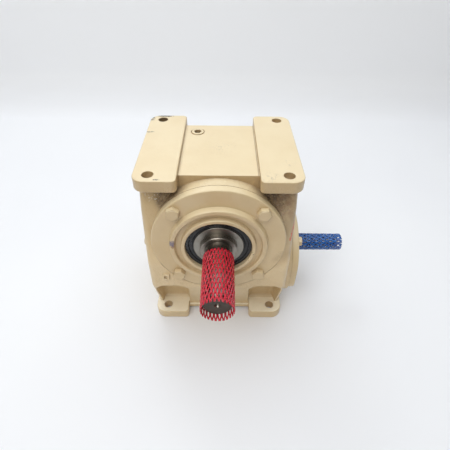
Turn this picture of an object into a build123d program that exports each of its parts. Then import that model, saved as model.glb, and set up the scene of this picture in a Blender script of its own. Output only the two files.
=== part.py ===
"""Right-angle worm gearbox: a universal cast case, a steel worm low down along X and a bronze worm
wheel above it on the output shaft along Y.

Frame: millimetres, +Z up. The origin is the centre of the foot bolt pattern on the foot plane. The
output shaft leaves towards -Y (the front) and the input shaft towards +X (the right).
"""

import os
from math import acos, cos, hypot, pi, radians, sin, tan

from build123d import *

# ---------------------------------------------------------------- driving dimensions
INCH = 25.4
HEIGHT = 213.0                  # foot plane to top pad plane
BOLT_X = 5.125 * INCH           # foot and pad bolt spacing across the case
BOLT_Y = 4.4 * INCH             # foot and pad bolt spacing along the output shaft
CENTRES = 2.5 * INCH            # worm axis to wheel axis
WORM_Z = 73.0
WHEEL_Z = WORM_Z + CENTRES
PLAY = 0.05                     # radial clearance of a running fit
HOLE_PLAY = 0.12                # radial clearance of a screw in its hole
FIT = 0.02                      # between parts fitted tight on each other

# case
WALL = 8.0
BODY_X = 78.0                   # half width of the body
DECK_Y = 50.5                   # half depth of the body at deck level and at the feet
BELLY_Y = 69.5                  # half depth of the body around the worm
BOSS_WALL = 5.0                 # metal around a bored cover seat
RECESS = 4.2                    # deck and underside stand back from the pad and foot planes
PAD_IN = 38.5
PAD_OUT = 79.7
PAD_Y = 67.0
PAD_THICK = 12.7
FOOT_HOLE_R = 5.25              # bolt holes of the feet
PAD_HOLE_R = 5.5                # and of the pads on top

# gear-case covers on the wheel axis, the front one large enough to pass the wheel
GASKET = 0.5
COVER_BOLT_R = 0.3125 * INCH / 2
BORE_R = 54.0
BOSS_R = 69.5
JOINT = 61.5
FLANGE_BACK = JOINT + GASKET
FLANGE_FACE = 70.0
COVER_BOLT_CIRCLE = 61.5
COVER_BOLT_END = 44.0
REAR_BORE_R = 47.0
REAR_BOSS_R = 62.0
REAR_JOINT = 57.5
REAR_FLANGE_BACK = REAR_JOINT + GASKET
REAR_FLANGE_FACE = 65.5
REAR_BOLT_CIRCLE = 54.5
REAR_BOLT_END = 42.0

# worm covers, right (input) and left (closed), on the worm axis
WORM_BORE_R = 23.5
RIGHT_BOSS = 85.0
ARCH_WIDTH = 53.0               # half width of the input cover
ARCH_RISE = 46.0                # its rounded top above the worm axis
ARCH_FLOOR = 40.0               # its flat underside below the worm axis
INPUT_BACK = RIGHT_BOSS + GASKET
INPUT_FACE = 93.3
INPUT_BOLT_CIRCLE = 40.0
END_COVER_R = 42.0
END_BACK = BODY_X + GASKET
END_FACE = 84.5
END_BOLT_CIRCLE = 33.5
SMALL_BOLT_R = 0.25 * INCH / 2

# worm and wheel
MODULE = INCH / 8
TEETH = 30
PRESSURE = radians(20)
WHEEL_R = MODULE * TEETH / 2
WORM_R = CENTRES - WHEEL_R
WORM_TIP_R = WORM_R + MODULE
ROOT_DEPTH = 1.25 * MODULE
LEAD = pi * MODULE
THREAD_TURNS = 5
FLANK_PLAY = 0.22               # each worm flank and each wheel flank stand back by half of this
FACE_WIDTH = 24.0
WHEEL_OUTER_R = 52.0
RIM_R = 37.5                    # where the bronze rim meets the iron hub

# output shaft, distances along the axis from the wheel's middle
OUT_SHAFT_R = 1.125 * INCH / 2
OUT_JOURNAL_R = 1.5 * INCH / 2
OUT_SEAT_R = 1.75 * INCH / 2
HUB_R = 30.0
HUB_HALF = 20.0
SPACER_R = 26.0
OUT_BEARING = 42.3              # back face of each bearing cone
OUT_BEARING_END = OUT_BEARING + 18.2
OUT_SHOULDER = 80.0
OUT_END = 144.5
KEY_WIDTH = 0.375 * INCH
COLLAR_R = 25.9
COLLAR_END = 72.7
SEAL_R = 34.3
SEAL_BACK = 62.4
SEAL_FACE = 72.0

# worm shaft, distances along the axis from the worm's middle
IN_SHAFT_R = 0.625 * INCH / 2
IN_JOURNAL_R = 10.0
WORM_BODY_R = 13.5
IN_BEARING = 68.0               # middle of the input-side ball bearing
END_BEARING = 64.0              # middle of the far ball bearing
NUT_END = 76.0
IN_SHOULDER = 93.5
IN_END = 153.0
IN_SEAL_R = 17.5
IN_SEAL_BACK = 86.5
IN_SEAL_FACE = 93.5

# pipe plugs: the middle of each outer face and the way it faces
PLUG_R = 6.8
PLUG_LENGTH = WALL - 0.5
PLUGS = {
    "fill_plug": ((-24.4, 35.4, HEIGHT - RECESS), (0, 0, 1)),
    "level_plug": ((60, BELLY_Y, 86), (0, 1, 0)),
    "drain_plug": ((-BODY_X, 0, 21), (-1, 0, 0)),
}

# protective net sleeves: inner and outer radius, start and end along the shaft
OUT_NET = (14.95, 15.55, 89.0, 150.0)
IN_NET = (9.7, 10.15, 97.5, 155.5)

WHEEL_CENTRE = (0, 0, WHEEL_Z)
WORM_CENTRE = (0, 0, WORM_Z)
FRONT = (0, -1, 0)
REAR = (0, 1, 0)
RIGHT = (1, 0, 0)
LEFT = (-1, 0, 0)


# ---------------------------------------------------------------- shared operations
def away_from(along):
    """A direction square to an axis: up, or to the rear for an upright axis."""
    return Vector(0, 1, 0) if abs(along[2]) > 0.5 else Vector(0, 0, 1)


def axial_plane(centre, along):
    """Plane through an axis: local x points away from the axis and local y runs along it."""
    out = away_from(along)
    return Plane(origin=centre, x_dir=out, z_dir=out.cross(Vector(along)))


def cross_plane(centre, along, distance=0.0):
    """Plane square to an axis at a distance along it; local y points up for a level axis."""
    direction = Vector(along)
    origin = Vector(centre) + direction * distance
    return Plane(origin=origin, x_dir=away_from(along).cross(direction), z_dir=direction)


def turn(outline, centre, along, mode=Mode.ADD):
    """Revolve an outline of (radius, distance along the axis, corner radius if any)."""
    with BuildSketch(axial_plane(centre, along)) as half:
        with BuildLine():
            Polyline(*[corner[:2] for corner in outline], close=True)
        make_face()
        for corner in outline:
            if len(corner) == 3:
                fillet(half.vertices().sort_by_distance((corner[0], corner[1], 0))[0], corner[2])
    revolve(half.sketch, axis=Axis(centre, along), mode=mode)


def ring(inner, outer, start, end, centre, along, mode=Mode.ADD):
    """A plain turned ring or, with no inner radius, a disc."""
    turn([(inner, start), (outer, start), (outer, end), (inner, end)], centre, along, mode)


def hoop(circle_r, section_r, at, centre, along, mode=Mode.ADD):
    """A round-section hoop or, subtracted, a round-bottomed groove."""
    with BuildSketch(axial_plane(centre, along)) as section:
        with Locations((circle_r, at)):
            Circle(section_r)
    revolve(section.sketch, axis=Axis(centre, along), mode=mode)


def drill(points, radius, start, end, centre, along):
    """Round holes between two distances along the axis."""
    with BuildSketch(cross_plane(centre, along, start)) as holes:
        with Locations(*points):
            Circle(radius)
    extrude(holes.sketch, amount=end - start, mode=Mode.SUBTRACT)


def diagonal_points(circle_r):
    """Four places on the diagonals of a bolt circle."""
    reach = circle_r * cos(pi / 4)
    return [(side * reach, level * reach) for side in (-1, 1) for level in (-1, 1)]


def cover_holes(circle_r):
    """The four screw holes of a gear-case cover: where they are and how wide."""
    return diagonal_points(circle_r), COVER_BOLT_R + HOLE_PLAY


def hex_bolts(points, shank_r, seat, shank_end, centre, along):
    """Hexagon-head cap screws: the heads seat at one distance, the shanks reach in to another."""
    flat = 1.55 * shank_r
    head = 1.4 * shank_r
    crown = 0.12 * shank_r
    for index, point in enumerate(points):
        with BuildSketch(cross_plane(centre, along, seat)) as hexagon:
            with Locations(point):
                RegularPolygon(flat, 6, major_radius=False, rotation=17 * index + 8)
        extrude(hexagon.sketch, amount=head - crown)
        with BuildSketch(cross_plane(centre, along, seat + head - crown)) as face:
            with Locations(point):
                Circle(0.97 * flat)
        extrude(face.sketch, amount=crown, taper=30)
        with BuildSketch(cross_plane(centre, along, shank_end)) as rod:
            with Locations(point):
                Circle(shank_r)
        extrude(rod.sketch, amount=seat - shank_end)


def keyway(width, depth, shaft_r, start, end, angle, centre, along):
    """A closed-end keyway milled into a shaft, at an angle about the axis from straight up."""
    up = Vector(0, 0, 1).rotate(Axis((0, 0, 0), along), angle)
    floor = Vector(centre) + up * (shaft_r - depth)
    with BuildSketch(Plane(origin=floor, x_dir=along, z_dir=up)) as slot:
        with Locations(((start + end) / 2, 0)):
            SlotOverall(end - start, width)
    extrude(slot.sketch, amount=2 * depth, mode=Mode.SUBTRACT)


def centre_drill(radius, end, centre, along):
    """The coned centre hole in a shaft's end face."""
    pilot = 0.4 * radius
    floor = end - 2 * radius
    outline = [(0, end), (radius, end), (pilot, end - radius), (pilot, floor), (0, floor)]
    turn(outline, centre, along, Mode.SUBTRACT)


def socket_plug(point, radius, length, along):
    """A pipe plug with a rounded rim and a hexagon socket, standing a little proud of a face."""
    proud = 0.6
    turn([(0, proud), (radius, proud, 0.5), (radius, -length), (0, -length)], point, along)
    with BuildSketch(cross_plane(point, along, proud)) as socket:
        RegularPolygon(0.55 * radius, 6, major_radius=False)
    extrude(socket.sketch, amount=-0.7 * length, mode=Mode.SUBTRACT)


# ---------------------------------------------------------------- bearings
class TaperBearing:
    """Single-row tapered roller bearing. Distances run from the cone's back face."""

    cone_width = OUT_BEARING_END - OUT_BEARING
    cup_r = 32.5
    cup_start = 4.1
    cup_end = 18.0
    large = (27.0, 2.7, 3.55)   # large end of a roller: radius, distance, its own radius
    small = (25.1, 13.7, 3.10)
    rollers = 18
    gap = 0.08                  # between a roller and each raceway
    window_gap = 0.2

    def __init__(self, centre, along):
        self.centre = tuple(Vector(centre) + Vector(along) * OUT_BEARING)
        self.along = along
        length = hypot(self.small[0] - self.large[0], self.small[1] - self.large[1])
        self.lean = (self.small[0] - self.large[0]) / length
        self.run = (self.small[1] - self.large[1]) / length

    def beside(self, end, reach, off):
        """A point beside a roller's end: reach along its axis, off square to it."""
        radius, at, _ = end
        return (radius + reach * self.lean + off * self.run, at + reach * self.run - off * self.lean)

    def raceway(self, side, distance):
        """Radius of the cup (side 1) or cone (side -1) raceway at a distance."""
        r1, s1 = self.beside(self.large, 0, side * (self.large[2] + self.gap))
        r2, s2 = self.beside(self.small, 0, side * (self.small[2] + self.gap))
        return r1 + (r2 - r1) * (distance - s1) / (s2 - s1)

    def cup(self):
        start = self.cup_start
        end = self.cup_end
        outline = [(self.cup_r, start, 0.6), (self.cup_r, end, 0.8)]
        outline += [(self.raceway(1, end), end), (self.raceway(1, start), start)]
        turn(outline, self.centre, self.along)

    def cone(self):
        rib = 25.0
        rib_end = 1.8
        lip = 22.9
        lip_start = 14.4
        lip_end = 16.6
        outline = [(OUT_JOURNAL_R, 0), (rib, 0, 0.6), (rib, rib_end)]
        outline += [(self.raceway(-1, rib_end), rib_end), (self.raceway(-1, lip_start), lip_start)]
        outline += [(lip, lip_start), (lip, lip_end), (21.6, self.cone_width)]
        outline += [(OUT_JOURNAL_R, self.cone_width)]
        turn(outline, self.centre, self.along)

    def roller_set(self, grow=0.0, mode=Mode.ADD):
        """The ring of rollers, grown on every side to cut the cage's windows."""
        plane = axial_plane(self.centre, self.along)
        head = self.beside(self.large, -grow, 0)
        tail = self.beside(self.small, grow, 0)
        with BuildSketch(plane) as half:
            with BuildLine():
                Polyline(
                    head,
                    self.beside(self.large, -grow, self.large[2] + grow),
                    self.beside(self.small, grow, self.small[2] + grow),
                    tail,
                    close=True,
                )
            make_face()
        spin_start = plane.from_local_coords(Vector(*head))
        spin_end = plane.from_local_coords(Vector(*tail))
        spin = Axis(spin_start, spin_end - spin_start)
        roller = revolve(half.sketch, axis=spin, mode=Mode.PRIVATE)
        for index in range(self.rollers):
            place = 360 * index / self.rollers
            add(roller.rotate(Axis(self.centre, self.along), place), mode=mode)

    def cage(self):
        """A coned band between the rollers, windowed to clear them."""
        low = 0.5
        high = 1.5
        overhang = 1.7
        outline = [
            self.beside(self.large, -overhang, low),
            self.beside(self.large, -overhang, high),
            self.beside(self.small, overhang, high),
            self.beside(self.small, overhang, low),
        ]
        turn(outline, self.centre, self.along)
        self.roller_set(self.window_gap, Mode.SUBTRACT)


class BallBearing:
    """Deep-groove ball bearing, centred at a distance along its axis."""

    half_width = 7.0
    pitch_r = (IN_JOURNAL_R + WORM_BORE_R) / 2
    ball_r = 3.97
    balls = 8
    land = 2.3                  # from the pitch circle to each ring's shoulder
    gap = 0.06
    pocket_gap = 0.15

    def __init__(self, centre, along, middle):
        self.centre = tuple(Vector(centre) + Vector(along) * middle)
        self.along = along

    def race(self, inner, outer):
        low, high = -self.half_width, self.half_width
        corners = [(inner, low, 0.5), (outer, low, 0.5), (outer, high, 0.5), (inner, high, 0.5)]
        turn(corners, self.centre, self.along)
        hoop(self.pitch_r, self.ball_r + self.gap, 0, self.centre, self.along, Mode.SUBTRACT)

    def inner_ring(self):
        self.race(IN_JOURNAL_R, self.pitch_r - self.land)

    def outer_ring(self):
        self.race(self.pitch_r + self.land, WORM_BORE_R)

    def ball_set(self):
        with Locations(cross_plane(self.centre, self.along)):
            with PolarLocations(self.pitch_r, self.balls):
                Sphere(self.ball_r)

    def cage(self):
        """A band around the balls, with a round pocket right through it for each."""
        thick = 1.2
        reach = 5.2
        inner = self.pitch_r - thick
        ring(inner, self.pitch_r + thick, -reach, reach, self.centre, self.along)
        with Locations(cross_plane(self.centre, self.along)):
            with PolarLocations(self.pitch_r, self.balls):
                Cylinder(self.ball_r + self.pocket_gap, 4 * thick, rotation=(0, 90, 0),
                         mode=Mode.SUBTRACT)


nodes = {}


# ---------------------------------------------------------------- case
def case_section():
    """Front-to-rear section of the case body: upright under the deck, wider around the worm."""
    with BuildSketch() as outline:
        with BuildLine():
            half = Polyline(
                (0, RECESS),
                (DECK_Y, RECESS),
                (DECK_Y, PAD_THICK),
                (BELLY_Y, 66),
                (BELLY_Y, 105),
                (57, 172),
                (DECK_Y, 190),
                (DECK_Y, HEIGHT - RECESS),
                (0, HEIGHT - RECESS),
            )
            mirror(half, about=Plane.YZ)
        make_face()
        for side in (-1, 1):
            for across, level, radius in ((BELLY_Y, 66, 12), (BELLY_Y, 105, 25), (57, 172, 30)):
                fillet(outline.vertices().sort_by_distance((side * across, level, 0))[0], radius)
    return outline.sketch


def pads(level):
    """A pair of bolting pads, well rounded outside and tight inside."""
    middle = (PAD_IN + PAD_OUT) / 2
    with BuildSketch(Plane.XY.offset(level)) as outline:
        with Locations((-middle, 0), (middle, 0)):
            Rectangle(PAD_OUT - PAD_IN, 2 * PAD_Y)
        outer = [corner for corner in outline.vertices() if abs(corner.X) > middle]
        fillet(outer, 12)
        inner = [corner for corner in outline.vertices() if abs(corner.X) < PAD_IN + 0.01]
        fillet(inner, 4.5)
    with BuildPart() as pair:
        extrude(outline.sketch, amount=PAD_THICK)
        fillet(pair.faces().filter_by(Axis.Z).edges(), 1.2)
    return pair.part


def foot_pockets(grow=0.0):
    """Drafted spanner pockets over the four feet, grown on every side but the front."""
    left = 39.5 - grow
    right = 70.5 + grow
    ceiling = 63.5 + grow
    back = 40.5 - grow
    draft = 9
    with BuildPart() as pocket:
        with BuildSketch(Plane.XZ.offset(back)) as wall:
            with Locations(((left + right) / 2, ceiling / 2)):
                Rectangle(right - left, ceiling)
            fillet(wall.vertices().group_by(Axis.Z)[-1], 8)
        extrude(amount=60, taper=-draft)
        split(bisect_by=Plane.XY.offset(PAD_THICK), keep=Keep.TOP)
        fillet(pocket.faces().sort_by(Axis.Y)[-1].edges(), 6)
        mirror(about=Plane.YZ)
        mirror(about=Plane.XZ)
    return pocket.part


def worm_end_outline(grow=0.0):
    """A low arch over the worm bore, squared off below it, with large lower corners."""
    width = ARCH_WIDTH + grow
    drop = ARCH_FLOOR + grow
    with BuildSketch() as outline:
        Ellipse(width, ARCH_RISE + grow)
        with Locations((0, -width)):
            Rectangle(2 * width, 2 * width, mode=Mode.SUBTRACT)
        with Locations((0, -drop / 2)):
            Rectangle(2 * width, drop)
        fillet(outline.vertices().group_by(Axis.Y)[0], 22)
    return outline.sketch


def on_plane(plane, outline):
    """An outline drawn on the XY plane, laid on another plane."""
    return plane.location * outline


section = case_section()
pockets = foot_pockets()
pocket_cores = foot_pockets(WALL - 1)
foot_pads = pads(0)
top_pads = pads(HEIGHT - PAD_THICK)

with BuildPart() as cavity:
    hollow = offset(section, amount=-WALL, mode=Mode.PRIVATE)
    extrude(on_plane(Plane.YZ, hollow), amount=BODY_X - WALL, both=True)
    # solid metal left around the cover and bearing bores
    for boss_r, side in ((BOSS_R, FRONT), (REAR_BOSS_R, REAR)):
        ring(0, boss_r + BOSS_WALL, 36, 80, WHEEL_CENTRE, side, Mode.SUBTRACT)
    for side in (RIGHT, LEFT):
        ring(0, 32, 54, 80, WORM_CENTRE, side, Mode.SUBTRACT)
    add(pocket_cores, mode=Mode.SUBTRACT)

with BuildPart() as housing:
    extrude(on_plane(Plane.YZ, section), amount=BODY_X, both=True)
    fillet(housing.faces().filter_by(Axis.X).edges(), 6)
    # low lip along the foot of the body, front and rear
    with Locations((0, 0, PAD_THICK / 2)):
        Box(2 * BODY_X - 12, 2 * DECK_Y + 5, PAD_THICK - 2 * RECESS)
    add(foot_pads)
    add(top_pads)
    ring(0, BOSS_R, 0, JOINT, WHEEL_CENTRE, FRONT)
    ring(0, REAR_BOSS_R, 0, REAR_JOINT, WHEEL_CENTRE, REAR)
    extrude(on_plane(cross_plane(WORM_CENTRE, RIGHT, 60), worm_end_outline(2)),
            amount=RIGHT_BOSS - 60)
    # small hollow cast lug on the front, below the cover
    lug = Plane(origin=(-59, 1 - BELLY_Y, 85), x_dir=(1, 0, 0), z_dir=(0, -1, 0))
    with BuildSketch(lug):
        Rectangle(8, 9)
    extrude(amount=3.2, taper=8)
    with BuildSketch(lug.offset(1.6)):
        with Locations((-0.4, 0.2)):
            Rectangle(3.4, 5.2)
    extrude(amount=3, mode=Mode.SUBTRACT)
    add(pockets, mode=Mode.SUBTRACT)
    add(cavity.part, mode=Mode.SUBTRACT)
    # bored seats for the covers where the belly stands proud of the joints
    ring(0, BOSS_R + FIT, JOINT, BELLY_Y + 10, WHEEL_CENTRE, FRONT, Mode.SUBTRACT)
    ring(0, REAR_BOSS_R + FIT, REAR_JOINT, BELLY_Y + 10, WHEEL_CENTRE, REAR, Mode.SUBTRACT)
    ring(0, BORE_R, 0, JOINT, WHEEL_CENTRE, FRONT, Mode.SUBTRACT)
    ring(0, REAR_BORE_R, 0, REAR_JOINT, WHEEL_CENTRE, REAR, Mode.SUBTRACT)
    drill(*cover_holes(COVER_BOLT_CIRCLE), COVER_BOLT_END - 2, JOINT, WHEEL_CENTRE, FRONT)
    drill(*cover_holes(REAR_BOLT_CIRCLE), REAR_BOLT_END - 2, REAR_JOINT, WHEEL_CENTRE, REAR)
    ring(0, WORM_BORE_R, -BODY_X, RIGHT_BOSS, WORM_CENTRE, RIGHT, Mode.SUBTRACT)
    drill(diagonal_points(INPUT_BOLT_CIRCLE), SMALL_BOLT_R + HOLE_PLAY, 71.5, RIGHT_BOSS,
          WORM_CENTRE, RIGHT)
    drill(diagonal_points(END_BOLT_CIRCLE), SMALL_BOLT_R + HOLE_PLAY, 71, BODY_X, WORM_CENTRE, LEFT)
    with BuildSketch(Plane.XY):
        with GridLocations(BOLT_X, BOLT_Y, 2, 2):
            Circle(FOOT_HOLE_R)
    extrude(amount=PAD_THICK, mode=Mode.SUBTRACT)
    with BuildSketch(Plane.XY.offset(HEIGHT - PAD_THICK)):
        with GridLocations(BOLT_X, BOLT_Y, 2, 2):
            Circle(PAD_HOLE_R)
    extrude(amount=PAD_THICK, mode=Mode.SUBTRACT)
    for point, along in PLUGS.values():
        ring(0, PLUG_R, -WALL - 2, 1, point, along, Mode.SUBTRACT)
        # countersunk step around the plug
        ring(0, PLUG_R + 0.8, -0.8, 1, point, along, Mode.SUBTRACT)
nodes["housing"] = housing


# ---------------------------------------------------------------- gear-case covers
CUP_BORE = TaperBearing.cup_r + FIT
CUP_SHOULDER = OUT_BEARING + TaperBearing.cup_end

with BuildPart() as output_cover:
    seat = SEAL_R + FIT
    turn(
        [
            (seat, SEAL_BACK),
            (seat, 76.3, 0.8),
            (38.2, 76.3, 1.2),
            (38.6, 71.5),
            (44.7, 71.5, 1),
            (45, 76, 1),
            (49.5, 76, 1.5),
            (51, FLANGE_FACE),
            (BOSS_R, FLANGE_FACE, 1.5),
            (BOSS_R, FLANGE_BACK),
            (BORE_R - PLAY, FLANGE_BACK),
            (BORE_R - PLAY, 52),
            (46, 52),
            (46, 59),
            (40.5, 59),
            (40.5, 43),
            (CUP_BORE, 43),
            (CUP_BORE, CUP_SHOULDER),
            (29, CUP_SHOULDER),
            (29, SEAL_BACK),
        ],
        WHEEL_CENTRE,
        FRONT,
    )
    drill(*cover_holes(COVER_BOLT_CIRCLE), FLANGE_BACK - 1, FLANGE_FACE + 1, WHEEL_CENTRE, FRONT)
nodes["output_cover"] = output_cover

with BuildPart() as rear_cover:
    turn(
        [
            (0, 71),
            (40, 71, 1.5),
            (41.5, REAR_FLANGE_FACE),
            (REAR_BOSS_R, REAR_FLANGE_FACE, 1.5),
            (REAR_BOSS_R, REAR_FLANGE_BACK),
            (REAR_BORE_R - PLAY, REAR_FLANGE_BACK),
            (REAR_BORE_R - PLAY, 52),
            (41, 52),
            (41, 43),
            (CUP_BORE, 43),
            (CUP_BORE, CUP_SHOULDER),
            (28, CUP_SHOULDER),
            (28, 66.5),
            (0, 66.5),
        ],
        WHEEL_CENTRE,
        REAR,
    )
    drill(*cover_holes(REAR_BOLT_CIRCLE), REAR_FLANGE_BACK - 1, REAR_FLANGE_FACE + 1, WHEEL_CENTRE,
          REAR)
nodes["rear_cover"] = rear_cover

with BuildPart() as output_gasket:
    ring(BORE_R + HOLE_PLAY, BOSS_R - 0.5, JOINT, FLANGE_BACK, WHEEL_CENTRE, FRONT)
    drill(*cover_holes(COVER_BOLT_CIRCLE), JOINT - 1, FLANGE_BACK + 1, WHEEL_CENTRE, FRONT)
nodes["output_gasket"] = output_gasket

with BuildPart() as rear_gasket:
    ring(REAR_BORE_R + HOLE_PLAY, REAR_BOSS_R - 0.5, REAR_JOINT, REAR_FLANGE_BACK, WHEEL_CENTRE, REAR)
    drill(*cover_holes(REAR_BOLT_CIRCLE), REAR_JOINT - 1, REAR_FLANGE_BACK + 1, WHEEL_CENTRE, REAR)
nodes["rear_gasket"] = rear_gasket

with BuildPart() as output_cover_bolts:
    hex_bolts(diagonal_points(COVER_BOLT_CIRCLE), COVER_BOLT_R, FLANGE_FACE, COVER_BOLT_END,
              WHEEL_CENTRE, FRONT)
nodes["output_cover_bolts"] = output_cover_bolts

with BuildPart() as rear_cover_bolts:
    hex_bolts(diagonal_points(REAR_BOLT_CIRCLE), COVER_BOLT_R, REAR_FLANGE_FACE, REAR_BOLT_END,
              WHEEL_CENTRE, REAR)
nodes["rear_cover_bolts"] = rear_cover_bolts

with BuildPart() as output_seal:
    bore = COLLAR_R + PLAY
    turn(
        [
            (SEAL_R, SEAL_BACK),
            (SEAL_R, SEAL_FACE, 0.6),
            (31.2, SEAL_FACE, 0.6),
            (30.2, 70.4),
            (27.6, 70.4),
            (26.8, 71.4),
            (bore, 71.4),
            (bore, 66.8),
            (27, 65.2),
            (29.2, 65.2),
            (31.5, 67.6),
            (32.3, 67.6),
            (32.3, SEAL_BACK),
        ],
        WHEEL_CENTRE,
        FRONT,
    )
nodes["output_seal"] = output_seal

with BuildPart() as output_seal_spring:
    hoop(28.1, 0.55, 64.6, WHEEL_CENTRE, FRONT)
nodes["output_seal_spring"] = output_seal_spring


# ---------------------------------------------------------------- worm covers
with BuildPart() as input_cover:
    extrude(on_plane(cross_plane(WORM_CENTRE, RIGHT, INPUT_BACK), worm_end_outline()),
            amount=INPUT_FACE - INPUT_BACK)
    fillet(input_cover.faces().sort_by(Axis.X)[-1].edges(), 1.5)
    turn([(0, INPUT_BACK), (22, INPUT_BACK), (22, 95, 1), (0, 95)], WORM_CENTRE, RIGHT)
    ring(20.5, WORM_BORE_R - PLAY, IN_BEARING + 7.05, INPUT_BACK, WORM_CENTRE, RIGHT)
    ring(12, 21, 83.5, INPUT_BACK, WORM_CENTRE, RIGHT)
    ring(0, IN_SEAL_R + FIT, IN_SEAL_BACK, 96, WORM_CENTRE, RIGHT, Mode.SUBTRACT)
    ring(0, 12, 83, IN_SEAL_BACK, WORM_CENTRE, RIGHT, Mode.SUBTRACT)
    drill(diagonal_points(INPUT_BOLT_CIRCLE), SMALL_BOLT_R + HOLE_PLAY, INPUT_BACK - 1, INPUT_FACE + 1,
          WORM_CENTRE, RIGHT)
nodes["input_cover"] = input_cover

with BuildPart() as input_gasket:
    extrude(on_plane(cross_plane(WORM_CENTRE, RIGHT, RIGHT_BOSS), worm_end_outline(-0.5)),
            amount=GASKET)
    ring(0, WORM_BORE_R + HOLE_PLAY, RIGHT_BOSS - 1, INPUT_BACK + 1, WORM_CENTRE, RIGHT, Mode.SUBTRACT)
    drill(diagonal_points(INPUT_BOLT_CIRCLE), SMALL_BOLT_R + HOLE_PLAY, RIGHT_BOSS - 1, INPUT_BACK + 1,
          WORM_CENTRE, RIGHT)
nodes["input_gasket"] = input_gasket

with BuildPart() as input_cover_bolts:
    hex_bolts(diagonal_points(INPUT_BOLT_CIRCLE), SMALL_BOLT_R, INPUT_FACE, 72.5, WORM_CENTRE, RIGHT)
nodes["input_cover_bolts"] = input_cover_bolts

with BuildPart() as input_seal:
    bore = IN_JOURNAL_R + PLAY
    turn(
        [
            (IN_SEAL_R, IN_SEAL_BACK),
            (IN_SEAL_R, IN_SEAL_FACE, 0.4),
            (15.5, IN_SEAL_FACE, 0.3),
            (14.8, 92.3),
            (12, 92.3),
            (11.2, 93.2),
            (bore, 93.2),
            (bore, 89.5),
            (11, 88.2),
            (12.8, 88.2),
            (14.6, 90.3),
            (15.6, 90.3),
            (15.6, IN_SEAL_BACK),
        ],
        WORM_CENTRE,
        RIGHT,
    )
nodes["input_seal"] = input_seal

with BuildPart() as end_cover:
    turn(
        [
            (0, END_FACE),
            (END_COVER_R, END_FACE, 2),
            (END_COVER_R, END_BACK),
            (WORM_BORE_R - PLAY, END_BACK),
            (WORM_BORE_R - PLAY, END_BEARING + 7.05),
            (20.5, END_BEARING + 7.05),
            (20.5, 80),
            (0, 80),
        ],
        WORM_CENTRE,
        LEFT,
    )
    drill(diagonal_points(END_BOLT_CIRCLE), SMALL_BOLT_R + HOLE_PLAY, END_BACK - 1, END_FACE + 1,
          WORM_CENTRE, LEFT)
nodes["end_cover"] = end_cover

with BuildPart() as end_gasket:
    ring(WORM_BORE_R + HOLE_PLAY, END_COVER_R - 0.5, BODY_X, END_BACK, WORM_CENTRE, LEFT)
    drill(diagonal_points(END_BOLT_CIRCLE), SMALL_BOLT_R + HOLE_PLAY, BODY_X - 1, END_BACK + 1,
          WORM_CENTRE, LEFT)
nodes["end_gasket"] = end_gasket

with BuildPart() as end_cover_bolts:
    hex_bolts(diagonal_points(END_BOLT_CIRCLE), SMALL_BOLT_R, END_FACE, 72, WORM_CENTRE, LEFT)
nodes["end_cover_bolts"] = end_cover_bolts


# ---------------------------------------------------------------- pipe plugs
with BuildPart() as fill_plug:
    socket_plug(PLUGS["fill_plug"][0], PLUG_R - FIT, PLUG_LENGTH, PLUGS["fill_plug"][1])
nodes["fill_plug"] = fill_plug

with BuildPart() as level_plug:
    socket_plug(PLUGS["level_plug"][0], PLUG_R - FIT, PLUG_LENGTH, PLUGS["level_plug"][1])
nodes["level_plug"] = level_plug

with BuildPart() as drain_plug:
    socket_plug(PLUGS["drain_plug"][0], PLUG_R - FIT, PLUG_LENGTH, PLUGS["drain_plug"][1])
nodes["drain_plug"] = drain_plug


# ---------------------------------------------------------------- output shaft and wheel
KEY_DEPTH = 4.76
KEY_REACH = 32.0

with BuildPart() as output_shaft:
    turn(
        [
            (0, OUT_END),
            (OUT_SHAFT_R - 2, OUT_END),
            (OUT_SHAFT_R, OUT_END - 2),
            (OUT_SHAFT_R, OUT_SHOULDER + 1.6),
            (OUT_SHAFT_R - 0.6, OUT_SHOULDER + 1.6),
            (OUT_SHAFT_R - 0.6, OUT_SHOULDER),
            (OUT_JOURNAL_R - 0.8, OUT_SHOULDER),
            (OUT_JOURNAL_R, OUT_SHOULDER - 0.8),
            (OUT_JOURNAL_R, HUB_HALF),
            (OUT_SEAT_R, HUB_HALF),
            (OUT_SEAT_R, -HUB_HALF),
            (27, -HUB_HALF),
            (27, -26),
            (OUT_JOURNAL_R, -26),
            (OUT_JOURNAL_R, -60.6),
            (OUT_JOURNAL_R - 1, -60.6),
            (OUT_JOURNAL_R - 1, -62.2),
            (OUT_JOURNAL_R, -62.2),
            (OUT_JOURNAL_R, -63.5),
            (OUT_JOURNAL_R - 1.5, -65),
            (0, -65),
        ],
        WHEEL_CENTRE,
        FRONT,
    )
    keyway(6.35, 3.2, OUT_SHAFT_R, 96, 138, -45, WHEEL_CENTRE, FRONT)
    keyway(KEY_WIDTH, KEY_DEPTH, OUT_SEAT_R, -KEY_REACH / 2, KEY_REACH / 2, 0, WHEEL_CENTRE, FRONT)
    centre_drill(3, OUT_END, WHEEL_CENTRE, FRONT)
nodes["output_shaft"] = output_shaft

with BuildPart() as gear_key:
    with BuildSketch(Plane.XY.offset(WHEEL_Z + OUT_SEAT_R - KEY_DEPTH)):
        SlotOverall(KEY_REACH - 2 * FIT, KEY_WIDTH - 2 * FIT, rotation=90)
    extrude(amount=KEY_DEPTH + 3.5)
nodes["gear_key"] = gear_key

SCREWS = [(RIM_R * cos(place), RIM_R * sin(place)) for place in (index * pi / 3 for index in range(6))]

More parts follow.
